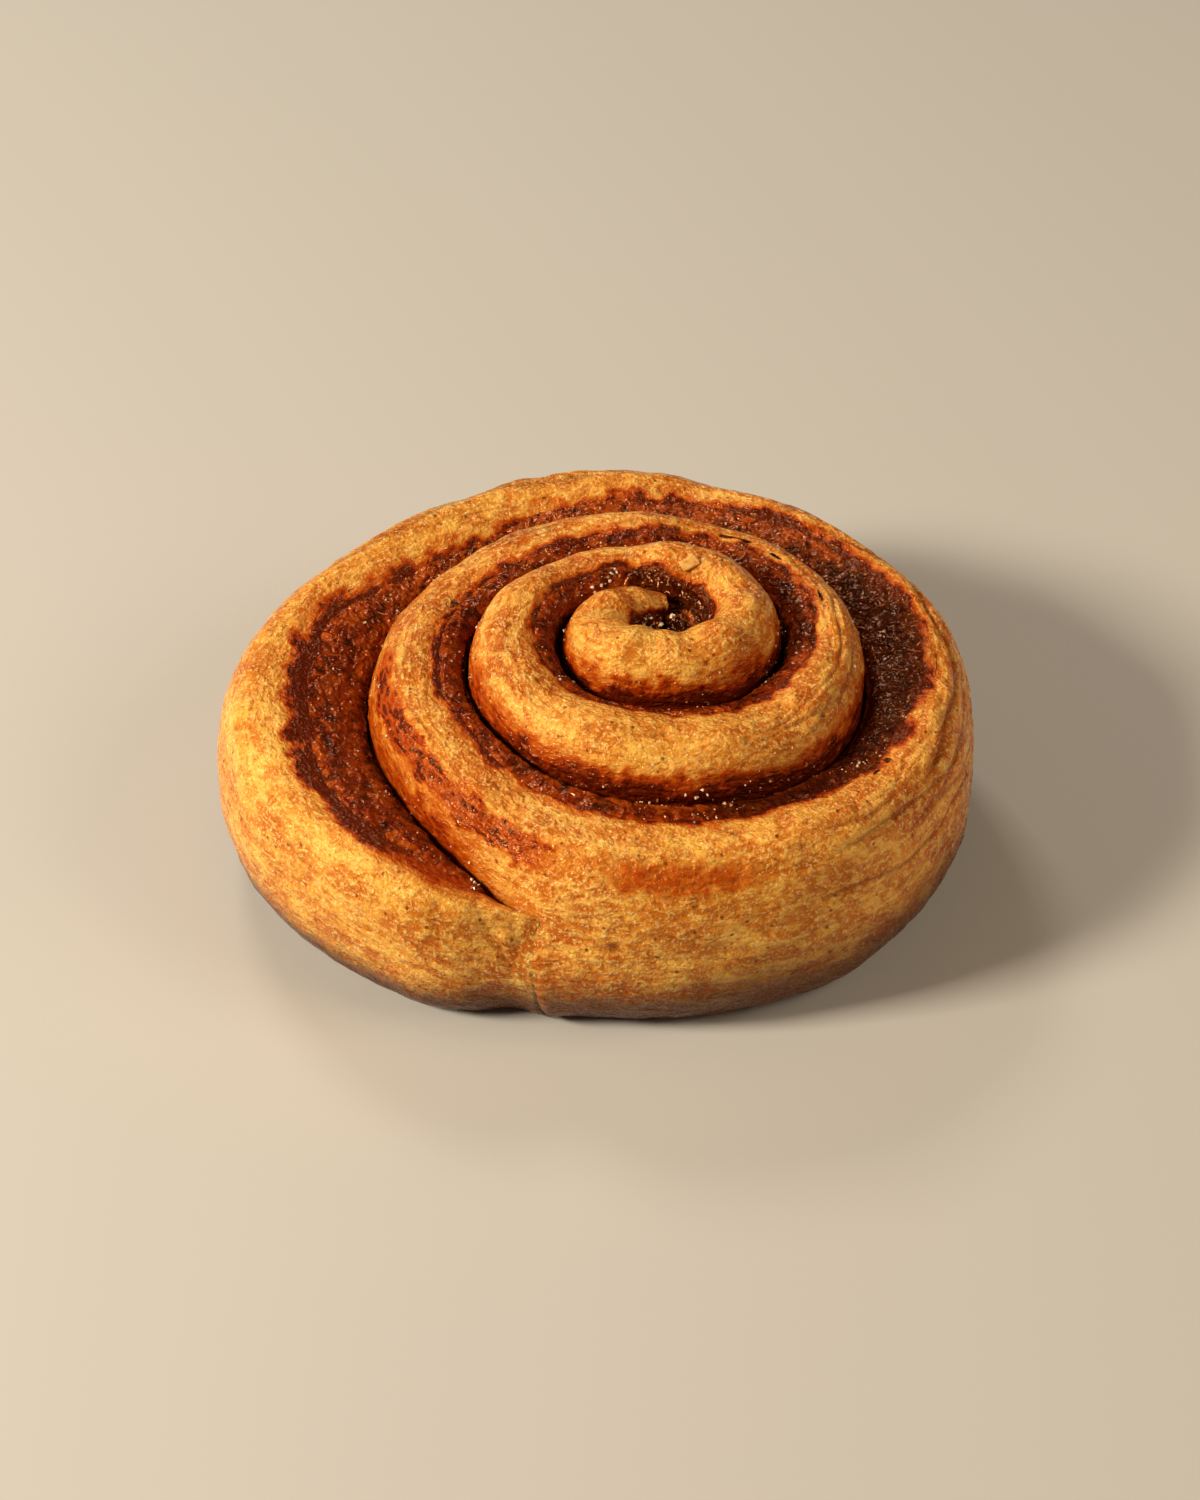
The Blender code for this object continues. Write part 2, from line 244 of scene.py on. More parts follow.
def strip_at(angle):
    """The measures of the strip's section at each angle, as columns."""
    before = angle - TURN
    round_eye = smooth_at(EYE_RADIUS + ((TIP, outward_radius(TIP) + BETWEEN_TURNS),), before)
    round_turn = outward_radius(before) + between_turns(before)
    at = {"inward": np.where(before < TIP, round_eye, round_turn)}
    at["outward"] = at["inward"] + (outward_radius(angle) - at["inward"]) * end_share(angle)
    bare = ease(BARE_FROM, BARE_BY, angle)
    bare_before = ease(BARE_FROM, BARE_BY, before)
    groove = smooth_at(GROOVE_HEIGHT, angle)
    at["bare"] = bare
    at["crown"] = smooth_at(CROWN_HEIGHT, angle) + swells(CROWN_SWELLS, angle)
    at["outward_foot"] = groove + (BULGE_HEIGHT - groove) * bare
    at["inward_foot"] = smooth_at(GROOVE_HEIGHT, before)
    at["outward_edge"] = COVERED_EDGE + (BULGE_HEIGHT - COVERED_EDGE) * bare
    at["inward_edge"] = COVERED_EDGE + (BULGE_HEIGHT - COVERED_EDGE) * bare_before
    thickness = at["outward"] - at["inward"]
    covered_tuck = np.minimum(COVERED_TUCK, thickness * COVERED_TUCK_SHARE)
    at["inward_tuck"] = covered_tuck - (BARE_TUCK + covered_tuck) * bare_before
    outward_tuck = covered_tuck + (BARE_TUCK - covered_tuck) * bare
    room = thickness - at["inward_tuck"] - LEAST_FOOT
    at["outward_tuck"] = np.where(bare > 0, np.minimum(outward_tuck, room), outward_tuck)
    at["crest"] = at["inward"] + (at["outward"] - at["inward"]) * smooth_at(CREST, angle)
    at["fullness"] = smooth_at(INWARD_FULLNESS, angle)
    return {name: np.broadcast_to(value, angle.shape)[:, None] for name, value in at.items()}


def shares(count):
    return (np.arange(count) / count)[None, :]


def arch(share, fullness):
    """A quarter of a superellipse from its side (0) to its top (1): across, and up."""
    turn = share * np.pi / 2
    return np.cos(turn) ** (2 / fullness), np.sin(turn) ** (2 / fullness)


def inward_slope(at, share):
    across, up = arch(share, at["fullness"])
    radius = at["crest"] + (at["inward"] - at["crest"]) * across
    return radius, at["inward_foot"] + (at["crown"] - at["inward_foot"]) * up


def outward_slope(at, share):
    across, up = arch(share, OUTWARD_FULLNESS)
    radius = at["crest"] + (at["outward"] - at["crest"]) * across
    return radius, at["outward_foot"] + (at["crown"] - at["outward_foot"]) * up


def tuck(wall, inset, edge, share):
    turn = share * np.pi / 2
    return wall - inset * (1 - np.sin(turn)), edge * (1 - np.cos(turn))


def joined(stretches, counts, rows):
    parts = [
        np.stack([np.broadcast_to(values, (rows, count)) for values in stretch], axis=-1)
        for stretch, count in zip(stretches, counts)
    ]
    return np.concatenate(parts, axis=1)


# A section of the dough runs from the middle of its base outwards, up, over the crown and back.
# Each stretch has its fine points, the lane numbers at its two ends, and the share of the mesh's
# points that it gets where it is open to view and where it is covered. Lane 0 is the crown, 1 and
# -1 are the feet of the two shoulders, 2 and -2 the lower ends of the walls.
DOUGH_STRETCHES = (
    # points, first lane, last lane, open, covered
    (8, 3.5, 3.0, 0.25, 0.12),
    (40, 3.0, 2.0, 1.0, 0.12),
    (16, 2.0, 1.0, 1.0, 0.07),
    (80, 1.0, 0.0, 1.0, 1.0),
    (80, 0.0, -1.0, 1.0, 1.0),
    (16, -1.0, -2.0, 0.07, 0.07),
    (16, -2.0, -3.0, 0.12, 0.12),
    (8, -3.0, -3.5, 0.12, 0.12),
)


def dough_sections(angle):
    """Fine closed sections of the dough, as (angle, point, (radius, height))."""
    at = strip_at(angle)
    counts = [stretch[0] for stretch in DOUGH_STRETCHES]
    base, low, wall, outer, inner, inner_wall, inner_low, inner_base = map(shares, counts)
    out_foot = at["outward"] - at["outward_tuck"]
    in_foot = at["inward"] + at["inward_tuck"]
    middle = np.minimum((in_foot + at["outward"]) / 2, out_foot)
    upright = at["outward_foot"] - at["outward_edge"]
    inner_upright = at["inward_foot"] - at["inward_edge"]
    stretches = (
        (middle + (out_foot - middle) * base, 0.0),
        tuck(at["outward"], at["outward_tuck"], at["outward_edge"], low),
        (at["outward"], at["outward_edge"] + upright * wall),
        outward_slope(at, outer),
        inward_slope(at, 1 - inner),
        (at["inward"], at["inward_foot"] - inner_upright * inner_wall),
        tuck(at["inward"], -at["inward_tuck"], at["inward_edge"], 1 - inner_low),
        (in_foot + (middle - in_foot) * inner_base, 0.0),
    )
    lanes = [first + (last - first) * shares(n)[0] for n, first, last, *_ in DOUGH_STRETCHES]
    opened = np.concatenate([np.full(row[0], row[3]) for row in DOUGH_STRETCHES])
    covered = np.concatenate([np.full(row[0], row[4]) for row in DOUGH_STRETCHES])
    weight = covered + (opened - covered) * at["bare"]
    return joined(stretches, counts, len(angle)), np.concatenate(lanes), weight


def respaced(sections, lanes, weight, count):
    """Sections with count points each, close together where the weight is high."""
    around = np.concatenate([sections, sections[:, :1]], axis=1)
    lane_round = np.append(lanes, lanes[-1])
    length = np.hypot(*np.moveaxis(np.diff(around, axis=1), -1, 0))
    run = np.concatenate([np.zeros((len(sections), 1)), np.cumsum(length * weight, axis=1)], axis=1)
    arc = np.concatenate([np.zeros((len(sections), 1)), np.cumsum(length, axis=1)], axis=1)
    crown = np.argmin(np.abs(lanes))
    out = np.empty((len(sections), count, 4))
    for i, row in enumerate(run):
        places = np.linspace(0, row[-1], count, endpoint=False)
        out[i, :, 0] = np.interp(places, row, around[i, :, 0])
        out[i, :, 1] = np.interp(places, row, around[i, :, 1])
        out[i, :, 2] = np.interp(places, row, lane_round)
        out[i, :, 3] = arc[i, crown] - np.interp(places, row, arc[i])
    return out


def distance_along(angle):
    """Distance along the strip's outward face at each angle, from the first of them."""
    radius = outward_radius(np.clip(angle, TIP, TAIL))
    return np.concatenate([[0.0], np.cumsum(np.radians(np.diff(angle)) * radius[1:])])


def even_angles(start, end, step):
    """Angles from start to end whose steps along the strip's outward face are even."""
    fine = np.linspace(start, end, FINE_ANGLES)
    run = distance_along(fine)
    return np.interp(np.linspace(0, run[-1], int(run[-1] / step)), run, fine)


def stood_up(radius, height, angle):
    """Sections stood up round the eye, as points in millimetres in the frame's place."""
    turn = np.radians(angle)[:, None]
    return np.stack([radius * np.cos(turn) + EYE_X, radius * np.sin(turn) + EYE_Y, height], axis=-1)


def outward_normals(points):
    """Unit normals of a grid of points that is closed across and open along."""
    along = np.gradient(points, axis=0)
    across = np.roll(points, -1, axis=1) - np.roll(points, 1, axis=1)
    normals = np.cross(along, across)
    return normals / (np.linalg.norm(normals, axis=-1, keepdims=True) + 1e-9)


def lumps(points, size, seed):
    """Smooth noise from -1 to 1 at each point, with lumps of about this size."""
    shift = Vector((seed * 11.3, seed * 7.1, seed * 3.7))
    flat = points.reshape(-1, 3) / size
    values = [noise.noise(Vector(point) + shift) for point in flat.tolist()]
    return np.array(values).reshape(points.shape[:-1])


def streaks(along, across, length, width, seed):
    """Noise drawn out along the strip."""
    flat = np.stack([along / length, across / width, np.full_like(along, 0.37)], axis=-1)
    return lumps(flat, 1.0, seed)


def wound_mesh(name, points, attributes):
    """A closed mesh through a grid of points along the spiral, with its attributes."""
    along, around = points.shape[0] - 1, points.shape[1]
    form = bmesh.new()
    layers = {}
    for key, values in attributes.items():
        kind = form.verts.layers.float_color if values.shape[-1] == 4 else form.verts.layers.float_vector
        layers[key] = kind.new(key)
    bmesh.ops.create_grid(form, x_segments=along, y_segments=around, size=1.0)
    metres = points * MM
    for vertex in form.verts:
        i = round((vertex.co.x + 1) / 2 * along)
        j = round((vertex.co.y + 1) / 2 * around) % around
        vertex.co = metres[i, j]
        for key, layer in layers.items():
            vertex[layer] = attributes[key][i, j]
    bmesh.ops.remove_doubles(form, verts=form.verts, dist=1e-7)
    bmesh.ops.holes_fill(form, edges=form.edges, sides=0)
    bmesh.ops.triangulate(form, faces=[face for face in form.faces if len(face.verts) > 4])
    bmesh.ops.recalc_face_normals(form, faces=form.faces)
    if form.calc_volume(signed=True) < 0:
        bmesh.ops.reverse_faces(form, faces=form.faces)
    mesh = bpy.data.meshes.new(name)
    form.to_mesh(mesh)
    form.free()
    mesh.shade_smooth()
    return mesh


def eye_place():
    """The eye of the spiral in the frame, from the dough's box and the strip's reach."""
    angles = np.arange(TIP, TAIL + 3.0, 6.0)
    at = strip_at(angles)
    turn = np.radians(angles)
    low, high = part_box("dough")
    reach = at["outward"][:, 0]
    middle_x = (reach * np.cos(turn)).max() + (reach * np.cos(turn)).min()
    middle_y = (reach * np.sin(turn)).max() + (reach * np.sin(turn)).min()
    return (low.x + high.x) / MM / 2 - middle_x / 2, (low.y + high.y) / MM / 2 - middle_y / 2


EYE_X, EYE_Y = eye_place()


# How far up the inward slope the stain of the paste reaches, as a share of the slope.
STAIN_REACH = (
    (75.0, 0.4), (345.0, 0.36), (405.0, 0.34), (435.0, 0.44), (465.0, 0.58), (510.0, 0.62),
    (540.0, 0.62), (600.0, 0.56), (690.0, 0.64), (765.0, 0.78), (810.0, 0.8), (855.0, 0.72),
    (900.0, 0.62), (945.0, 0.56), (1035.0, 0.56), (1060.0, 0.7), (1100.0, 0.82), (1170.0, 0.66),
    (1212.0, 0.45), (1230.0, 0.51), (1247.0, 0.73), (1256.0, 0.71), (1266.0, 0.69), (1274.0, 0.73),
    (1284.0, 0.79), (1294.0, 0.82), (1304.0, 1.05), (1311.0, 1.0), (1320.0, 0.6), (1329.0, 0.4),
)
# How strongly the outward slope is stained beside a groove.
OUTWARD_STAIN = (
    (75.0, 0.7), (180.0, 0.8), (270.0, 1.0), (360.0, 0.7), (540.0, 0.6), (630.0, 0.8),
    (720.0, 0.7), (860.0, 0.62), (900.0, 0.5), (960.0, 0.7),
)
# Cinnamon smeared over the outer shoulder: angles and fade, distances from the crown and fade,
# and strength.
SMEARS = (
    ((908.0, 962.0, 14.0), (3.7, 6.5, 1.9), 1.0),
    ((985.0, 1002.0, 10.0), (4.5, 6.5, 2.0), 0.42),
)
# The side is baked brown, and darkened with painted shade, up to one height, and from there both fade up
# to the other.
BROWN_AND_SHADE_FROM = 2.5
BROWN_AND_SHADE_TO = 17.0
# How far the egg wash has browned from yellow gold (0) to amber (1), with painted shade: the high values
# on the right, at the back and at the tail's end stand for shade as well as browning.
AMBER_AND_SHADE = (
    (75.0, 0.8), (180.0, 0.5), (270.0, 0.35), (360.0, 0.95), (450.0, 0.95), (540.0, 0.95),
    (630.0, 0.3), (700.0, 0.8), (760.0, 0.9), (810.0, 0.95), (880.0, 0.9), (940.0, 0.6),
    (975.0, 0.7), (995.0, 0.35), (1050.0, 0.8), (1110.0, 0.95), (1170.0, 0.5), (1215.0, 0.2),
    (1260.0, 0.05), (1300.0, 0.1), (1312.0, 0.25), (1329.0, 0.6),
)

# Lumps of the crust: size, seed of the noise and how high they stand.
CRUST_LUMPS = ((9.0, 1, 0.34), (4.0, 2, 0.17), (1.7, 4, 0.13))
# Wrinkles along the strip: length, space between them, the share of it they take, and depth.
WRINKLE_LENGTH = 9.0
WRINKLE_SPACE = 1.5
WRINKLE_WIDTH = 0.32
WRINKLE_DEPTH = 0.4
# The relief that is left near the eye, where the strip is stretched smooth.
EYE_RELIEF = 0.55

# Creases of the crust along the strip: bands of them, each with the angles and the distances
# from the crown that it covers, the space between creases, their width and their depth.
CREASE_BANDS = (
    # from, to, nearest, farthest, spacing, width, depth
    (1030.0, 1120.0, 0.6, 13.0, 1.7, 0.42, 0.42),
    (665.0, 790.0, -1.0, 5.5, 1.3, 0.36, 0.34),
    (1165.0, 1262.0, 0.5, 6.0, 3.1, 0.95, 0.26),
    (820.0, 935.0, 0.0, 5.0, 1.9, 0.45, 0.16),
    (980.0, 1050.0, 4.0, 22.0, 3.4, 0.5, 0.12),
    (300.0, 420.0, 0.5, 4.5, 1.5, 0.35, 0.16),
)
# Single creases where the tail is pressed on: angles, distances from the crown at both ends,
# width and depth.
TAIL_CREASES = (
    (1318.0, 1325.0, -1.0, 9.0, 0.4, 0.3),
    (1324.0, 1325.5, 0.0, 6.0, 0.3, 0.26),
)
# Knobs where the dough folded: angle, distance from the crown, radius, height.
KNOBS = ((1323.5, 4.2, 1.3, 0.75), (1316.0, 2.6, 1.0, 0.3))
# Pits: angle, distance from the crown, radius, depth.
PITS = (
    (982.0, 16.5, 0.9, 0.55), (968.0, 15.0, 0.4, 0.35), (996.0, 9.0, 0.45, 0.35),
    (628.0, 1.2, 0.4, 0.4), (598.0, 4.6, 0.35, 0.35), (655.0, 3.1, 0.4, 0.35),
    (1290.0, 3.0, 0.4, 0.3), (1268.0, 6.5, 0.4, 0.3), (300.0, 4.4, 0.5, 0.45),
)
SCATTERED_PITS = 260


def creased(grid, angle):
    """Depth of all the creases at each point of the dough."""
    draw = random.Random(SEED)
    across = grid[..., 3]
    depth = np.zeros_like(across)
    for first, last, near, far, spacing, width, deep in CREASE_BANDS:
        rows = (angle > first - 12) & (angle < last + 12)
        place = near
        while place < far:
            start = first + draw.uniform(-8, 0.45 * (last - first))
            end = last + draw.uniform(-0.45 * (last - first), 8)
            waver = draw.uniform(0.25, 0.6) * spacing
            period = draw.uniform(22, 46)
            phase = draw.uniform(0, period)
            drift = draw.uniform(-0.02, 0.02) * spacing
            size = deep * draw.uniform(0.45, 1.15)
            line = (place + waver * np.sin(2 * np.pi * (angle - phase) / period)
                    + drift * (angle - first))[:, None]
            cut = np.exp(-(((across - line) / width) ** 2))
            depth[rows] += (cut * size * window(start, end, 9.0, angle)[:, None])[rows]
            place += spacing * draw.uniform(0.75, 1.25)
    for first, last, near, far, width, deep in TAIL_CREASES:
        share = np.clip((across - near) / (far - near), 0, 1)
        line = first + (last - first) * share
        off = np.radians(angle[:, None] - line) * grid[..., 0]
        depth += deep * np.exp(-((off / width) ** 2)) * window(near, far, 2.0, across)
    return depth


def nearest(grid, angle, at, reach):
    """Row and column of the point nearest to an angle and a distance from the crown."""
    row = int(np.argmin(np.abs(angle - at)))
    return row, int(np.argmin(np.abs(grid[row, :, 3] - reach)))


def pitted(points, grid, angle):
    """Depth of the pits, those listed and those scattered over the crust."""
    draw = random.Random(SEED + 1)
    pits = list(PITS)
    for _ in range(SCATTERED_PITS):
        size = draw.uniform(0.22, 0.5)
        spread = draw.random() ** 0.5
        reach = draw.uniform(-2.0, 18.0) if spread > 0.75 else draw.uniform(-2.0, 5.5)
        pits.append((TIP + (TAIL - TIP) * spread, reach, size, size * draw.uniform(0.5, 0.9)))
    depth = np.zeros(points.shape[:-1])
    for at, reach, radius, deep in pits:
        row, column = nearest(grid, angle, at, reach)
        near = slice(max(row - 6, 0), row + 7)
        off = np.linalg.norm(points[near] - points[row, column], axis=-1)
        depth[near] = np.maximum(depth[near], deep * np.exp(-((off / radius) ** 2)))
    for at, reach, radius, high in KNOBS:
        off = np.linalg.norm(points - points[nearest(grid, angle, at, reach)], axis=-1)
        depth -= high * np.exp(-((off / radius) ** 2))
    return depth


def crust_marks(grid, angle, points, depth):
    """Colour marks of the crust: cinnamon stain, browning with painted shade low on the side, depth of
    creases for painted shade in them, and amber glaze with painted shade.
    """
    lane, across = grid[..., 2], grid[..., 3]
    turn = angle[:, None]
    bare = strip_at(angle)["bare"]
    blur = lumps(points, 3.2, 5) * 0.5 + lumps(points, 1.2, 6) * 0.3
    reach = smooth_at(STAIN_REACH, angle)[:, None]
    up_inward = 1 + lane + blur * 0.3
    fade = 0.12 + 0.3 * ease(1296.0, 1308.0, turn)
    strength = 1 - 0.4 * ease(1294.0, 1308.0, turn)
    inward = (1 - ease(reach - fade, reach + 0.2, up_inward)) * (lane < 0.4) * strength
    outward = ease(0.42, 0.95, lane + blur * 0.4) * (1 - bare) * smooth_at(OUTWARD_STAIN, angle)[:, None]
    along = along_strip(angle, grid)
    specks = streaks(along, across, 1.1, 0.5, 9)
    smear, patch = (
        window(*angles, turn) * window(*distances, across + blur * 3) * share
        for angles, distances, share in SMEARS
    )
    smear = smear * (0.55 + 0.45 * ease(0.1, 0.5, specks))
    stain = np.clip(np.maximum.reduce([inward, outward, smear, patch]), 0, 1)
    # The low side darkens as browning and as painted shade; the painted shade reaches higher on the
    # right, and less high from the back round to the left.
    browned_and_shaded_to = BROWN_AND_SHADE_TO + 5.0 * window(1010.0, 1090.0, 30.0, turn) - 4.0 * ease(1180.0, 1240.0, turn)
    height = points[..., 2] + blur * 2
    low = (1 - ease(BROWN_AND_SHADE_FROM, browned_and_shaded_to, height)) * ease(0.6, 1.0, lane) * bare
    under = ease(2.9, 3.0, np.abs(lane))
    brown = np.clip(np.maximum(low, under), 0, 1)
    # Deeper amber on the right, at the back and down the open walls is partly painted shade.
    amber = smooth_at(AMBER_AND_SHADE, angle)[:, None] + blur * 0.5 + ease(1.0, 2.0, lane) * bare * 0.35
    # Painted shade: the crust is darkened in its creases and pits by their depth.
    deep = np.clip(depth / 0.45, 0, 1)
    return np.stack([stain, brown, deep, np.clip(amber, 0, 1)], axis=-1)


def along_strip(angle, grid):
    """Distance along the strip of each point, in millimetres."""
    return np.broadcast_to(distance_along(angle)[:, None], grid.shape[:-1])


def tail_sink(angle):
    """How far the outward face of the tail is pressed in."""
    return ease(TAIL - 17.0, TAIL, angle) * TAIL_SINK + ease(TAIL - 3.0, TAIL, angle) * TIP_SINK


def tail_hollow(angle):
    """How far the tail and the turn beneath it move out, so that they meet in a soft hollow."""
    beneath = outward_radius(np.where(angle > TAIL - TURN / 2, angle - TURN, angle))
    over = np.where(angle > TAIL - TURN / 2, angle, angle + TURN)
    at_tail = np.minimum(over, TAIL)
    tail = strip_at(at_tail)["outward"][:, 0] - tail_sink(at_tail) - (over - at_tail) * HOLLOW_FALL
    share = np.clip(1 - np.abs(tail - beneath) / HOLLOW, 0, 1)
    round_out = share ** 2 * HOLLOW / 4
    apart = HOLLOW_APART * (1 - ease(TAIL - 7.0, TAIL, over))
    lift = (np.maximum(tail - beneath, 0) + round_out - apart) * ease(0.0, 0.5, share)
    own = np.where(angle > TAIL - TURN / 2, round_out, np.maximum(lift, 0.0))
    foot = TAIL_FOOT * ease(TAIL - 22.0, TAIL - 10.0, over) * (1 - ease(TAIL, TAIL + 14.0, over))
    filled = TAIL_FILL[0] * np.exp(-(((over - TAIL) / TAIL_FILL[1]) ** 2))
    return (own * (over > TAIL - UNDER_TAIL) + foot + filled)[:, None]


def under_tail(angle, height):
    """How far out the turn beneath the tail may reach, so that it stays inside the tail's foot."""
    over = np.minimum(angle + TURN, TAIL)
    wall = strip_at(over)["outward"][:, 0] - tail_sink(over) + tail_hollow(over)[:, 0]
    up = 1 - np.clip(height / BULGE_HEIGHT, 0.0, 1.0)
    foot = BARE_TUCK * (1 - np.sqrt(1 - up ** 2))
    beneath = (angle > TAIL - TURN - UNDER_TAIL) & (angle < TAIL - TURN + PAST_TAIL)
    past_end = np.maximum(angle + TURN - TAIL, 0.0) * HOLLOW_FALL * 2
    inside = BENEATH_APART * (1 - ease(TAIL - 8.0, TAIL - 1.0, over))
    return np.where(beneath, wall - inside + past_end, np.inf)[:, None] - foot


def make_dough():
    """The crust: the strip with its lumps, creases and pits."""
    angle = even_angles(TIP, TAIL, DOUGH_STEP)
    grid = respaced(*dough_sections(angle), DOUGH_ROUND)
    grid[..., 0] -= tail_sink(angle)[:, None]
    outward = (grid[..., 2] > 0.0) | (grid[..., 2] < -2.9)
    grid[..., 0] += tail_hollow(angle) * (1 - ease(12.0, 20.0, grid[..., 1])) * outward
    grid[..., 0] = np.minimum(grid[..., 0], under_tail(angle, grid[..., 1]))
    grid[..., 0] += ((1 - ease(TIP, TIP + TIP_SHIFT_OVER, angle)) * TIP_SHIFT)[:, None]
    points = stood_up(grid[..., 0], grid[..., 1], angle)
    normals = outward_normals(points)
    lane, across = grid[..., 2], grid[..., 3]
    bare = strip_at(angle)["bare"]
    seen = np.where(lane > 0, 1 - ease(1.0, 1.25, lane) * (1 - bare), 1 - ease(1.0, 1.25, -lane))
    seen = seen * (1 - ease(2.6, 2.95, np.abs(lane)))
    along = along_strip(angle, grid)
    wrinkle = streaks(along, across, WRINKLE_LENGTH, WRINKLE_SPACE, 3)
    relief = sum(lumps(points, size, seed) * high for size, seed, high in CRUST_LUMPS)
    relief = relief - np.maximum(0.0, WRINKLE_WIDTH - np.abs(wrinkle)) * WRINKLE_DEPTH
    smoother = EYE_RELIEF + (1 - EYE_RELIEF) * ease(300.0, 480.0, angle)
    relief = relief * smoother[:, None]
    depth = creased(grid, angle) + pitted(points, grid, angle)
    points = points + normals * ((relief - depth) * seen)[..., None]
    points[..., 2] = np.maximum(points[..., 2], 0.0)
    marks = crust_marks(grid, angle, points, depth * seen)
    strip = np.stack([along * MM, across * MM, np.zeros_like(across)], axis=-1)
    mesh = wound_mesh("crust", points, {"marks": marks, "strip": strip})
    added("crust", mesh, egg_washed_crust(), "dough")
    return angle, grid, points, outward_normals(points)


def paste_sections(angle):
    """Sections of the paste: its two faces, its back, its front, and how far up the front lies."""
    tip_face = strip_at(np.array([TIP]))["outward"]
    past_axis = ease(CORE_UNTIL, PAST_TIP, angle)[:, None]
    core_face = CORE_RADIUS + (tip_face + SLIT - CORE_RADIUS) * past_axis
    inner_face = np.where(angle[:, None] < TIP, core_face, strip_at(angle)["outward"] + SLIT)
    outside = strip_at(angle + TURN)
    climb = smooth_at(CLIMB, angle)[:, None]
    reach = np.minimum(climb * PASTE_OVERREACH, PASTE_HIGHEST)
    back_share = np.linspace(0.0, 1.0, PASTE_BACK)[None, :] * reach
    front_share = np.linspace(1.0, 0.0, PASTE_FRONT)[None, :] * reach
    back = inward_slope(outside, back_share)
    front = inward_slope(outside, front_share)
    outer_face = outside["inward"] - SLIT
    return inner_face, outer_face, back, front, front_share / climb


def raised(line, by):
    """A line of a section moved off to its side, as (radius, height)."""
    run, rise = np.gradient(line[0], axis=1), np.gradient(line[1], axis=1)
    length = np.hypot(run, rise) + 1e-9
    return line[0] + rise / length * by, line[1] - run / length * by


def paste_marks(angle, share, clumps, count):
    """Colour marks of the paste: how far up it lies, where it is mashed, and where shade is painted on
    it.
    """
    marks = np.zeros((len(angle), count, 4))
    # Painted shade: dark in the eye, in the shade at the right, and between the clumps.
    in_eye = 1 - ease(90.0, 150.0, angle)[:, None]
    in_shade = SHADE * window(650.0, 750.0, 30.0, angle)[:, None]
    shaded = np.maximum(np.maximum(in_eye, in_shade), 0.5 - clumps)
    marks[:, FRONT_POINTS, 0] = np.clip(share / CLIMBED_SCALE, 0, 1)
    marks[..., 1] = window(*MASHED, 25.0, angle)[:, None]
    marks[:, FRONT_POINTS, 2] = np.clip(shaded, 0, 1)
    return marks


def make_paste():
    """The wet paste in the grooves, with a ragged edge where it thins out up the slope."""
    angle = even_angles(PASTE_START, PASTE_END, PASTE_STEP)
    inner_face, outer_face, back, front, share = paste_sections(angle)
    slope = stood_up(*front, angle)
    clumps = lumps(slope, 3.0, 11) * 0.46 + lumps(slope, 1.4, 12) * 0.6
    ended = 1 - ease(PASTE_END - PASTE_THINS_OVER, PASTE_END, angle)[:, None]
    thick = PASTE_THICK * (1 - share ** 3) * (0.3 + 0.7 * ended) + clumps * (0.62 - 0.42 * share)
    radius, height = raised(front, np.maximum(thick, -FRONT_SUNK))
    radius = np.maximum(radius, inner_face - FRONT_OVERLAP)
    fill = np.linspace(0, 1, PASTE_BRIDGE + 1)[None, 1:]
    bridge_radius = radius[:, -1:] + (inner_face - radius[:, -1:]) * fill
    bridge_height = height[:, -1:] - PASTE_DIP * fill
    stretches = (
        (outer_face, PASTE_FOOT),
        (outer_face, back[1][:, :1] - 1.0),
        raised(back, BACK_SUNK),
        (radius, height),
        (bridge_radius, bridge_height),
        (inner_face, PASTE_FOOT),
    )
    counts = (1, 1, PASTE_BACK, PASTE_FRONT, PASTE_BRIDGE, 1)
    sections = joined(stretches, counts, len(angle))
    points = stood_up(sections[..., 0], sections[..., 1], angle)
    marks = paste_marks(angle, share, clumps, sections.shape[1])
    mesh = wound_mesh("cinnamon_paste", points, {"marks": marks})
    added("cinnamon_paste", mesh, cinnamon_sugar_paste(), "filling")
    return angle, points[:, FRONT_POINTS], outward_normals(points)[:, FRONT_POINTS]


# Sugar that didn't melt: how many grains lie on the paste and on the stained dough and how much
# the small ones prevail there, and their smallest and largest size.
GRAINS_ON_PASTE = (560, 2.2)
GRAINS_ON_DOUGH = (300, 2.6)
GRAIN_SIZE = (0.14, 0.46)
# The crystals in the eye: angle, radius from the eye, size, and how many lie together.
EYE_CRYSTALS = (35.0, 2.1, 0.42, 5)


def make_sugar(dough, paste):
    """Grains of sugar, each a small squashed cube, in one piece."""
    draw = random.Random(SEED + 2)
    form = bmesh.new()
    paste_angle, paste_points, paste_normals = paste
    in_clusters = np.argwhere(lumps(paste_points, 5.0, 21) + 0.6 * lumps(paste_points, 1.6, 22) > 0.22)
    strew(form, GRAINS_ON_PASTE, in_clusters, paste_points, paste_normals, draw)
    angle, grid, points, normals = dough
    strew(form, GRAINS_ON_DOUGH, np.argwhere(stained_places(angle, grid)), points, normals, draw)
    turn, reach, size, count = EYE_CRYSTALS
    row = int(np.argmin(np.abs(paste_angle - turn)))
    height = paste_points[row, :, 2].max()
    for _ in range(count):
        x = EYE_X + reach * math.cos(math.radians(turn)) + draw.uniform(-0.5, 0.5)
        y = EYE_Y + reach * math.sin(math.radians(turn)) + draw.uniform(-0.35, 0.35)
        add_grain(form, np.array([x, y, height]), np.array([0.0, 0.0, 1.0]), size, draw)
    mesh = mesh_of(form, "sugar_grains")
    added("sugar_grains", mesh, sugar_crystal(), None)


